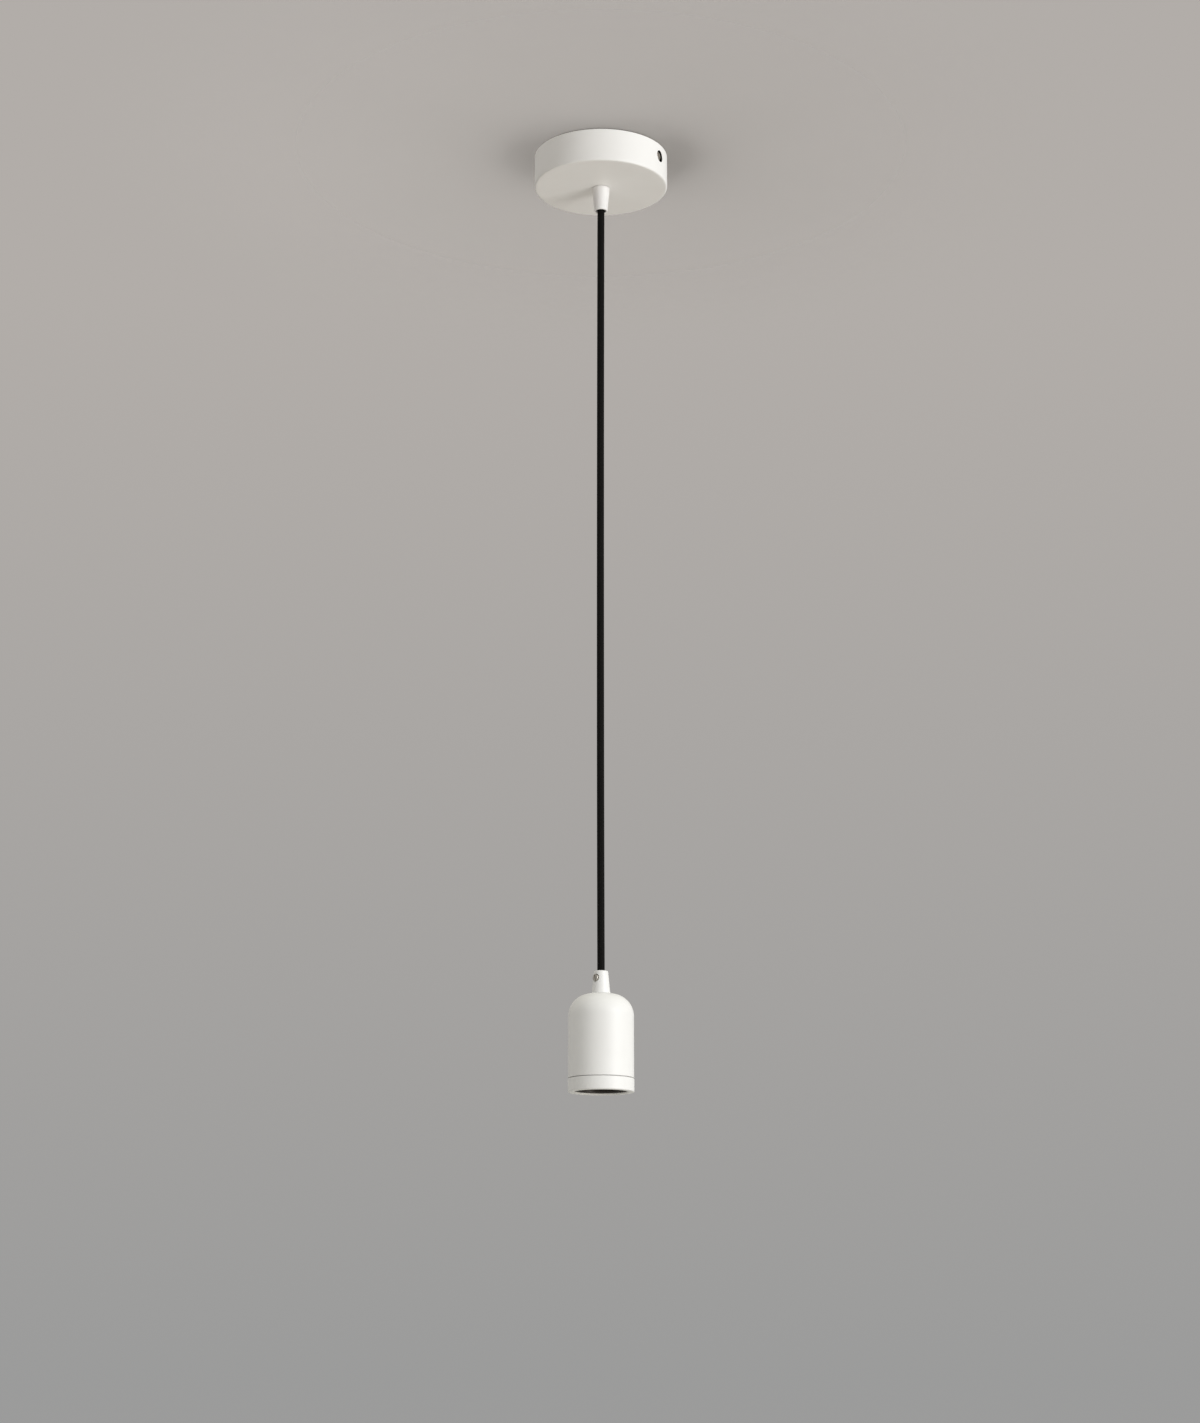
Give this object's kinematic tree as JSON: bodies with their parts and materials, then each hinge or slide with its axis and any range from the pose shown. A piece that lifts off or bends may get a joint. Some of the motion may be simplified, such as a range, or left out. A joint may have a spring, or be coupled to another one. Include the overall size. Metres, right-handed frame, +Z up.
{
  "type": "pendant cord set",
  "caption": "Round ceiling canopy, straight textile cord and domed metal lamp holder with a screwed ring and an E27 socket.",
  "frame": {"origin": "centre of the canopy in the ceiling plane, on the top face of the ceiling strap", "axes": "+Z up into the ceiling, +X along the ceiling strap through the side screws"},
  "size_m": [0.1, 0.1, 0.7047],
  "materials": {
    "white_coat": "fine matt powder coat",
    "white_grip": "satin moulded",
    "zinc_steel": "bright zinc plated",
    "nickel_screw": "nickel plated, turned",
    "brass": "plain drawn brass",
    "dark_phenolic": "moulded, half gloss",
    "terminal_plastic": "moulded",
    "cord_textile": "braided textile",
    "core_brown": "extruded",
    "core_blue": "extruded",
    "core_earth": "extruded, green with a yellow stripe"
  },
  "bodies": {
    "root": {"canopy_cup": "white_coat", "ceiling_strap": "zinc_steel", "side_screw_1": "nickel_screw", "side_screw_2": "nickel_screw", "canopy_tube": "zinc_steel", "canopy_washer": "zinc_steel", "canopy_nut": "zinc_steel", "canopy_grip": "white_grip", "canopy_grip_screw": "nickel_screw", "terminal_block": "terminal_plastic", "block_fixing_screw": "zinc_steel", "block_tube_live": "brass", "block_tube_neutral": "brass", "block_screw_1": "zinc_steel", "block_screw_2": "zinc_steel", "block_screw_3": "zinc_steel", "block_screw_4": "zinc_steel", "ceiling_earth_lug": "zinc_steel", "ceiling_earth_screw": "brass", "ceiling_core_earth": "core_earth", "ceiling_core_live": "core_brown", "ceiling_core_neutral": "core_blue", "cord": "cord_textile", "holder_grip": "white_grip", "holder_grip_screw": "nickel_screw", "holder_shell": "white_coat", "holder_ring": "white_coat", "holder_tube": "zinc_steel", "holder_washer": "zinc_steel", "holder_nut": "zinc_steel", "holder_yoke": "zinc_steel", "yoke_screw_1": "zinc_steel", "yoke_screw_2": "zinc_steel", "holder_earth_lug": "zinc_steel", "holder_earth_screw": "brass", "socket_body": "dark_phenolic", "socket_screw_shell": "brass", "socket_centre_contact": "brass", "live_rivet": "brass", "neutral_rivet": "brass", "live_terminal": "brass", "neutral_terminal": "brass", "live_terminal_screw": "zinc_steel", "neutral_terminal_screw": "zinc_steel", "holder_core_live": "core_brown", "holder_core_neutral": "core_blue", "holder_core_earth": "core_earth"}
  },
  "joints": []
}
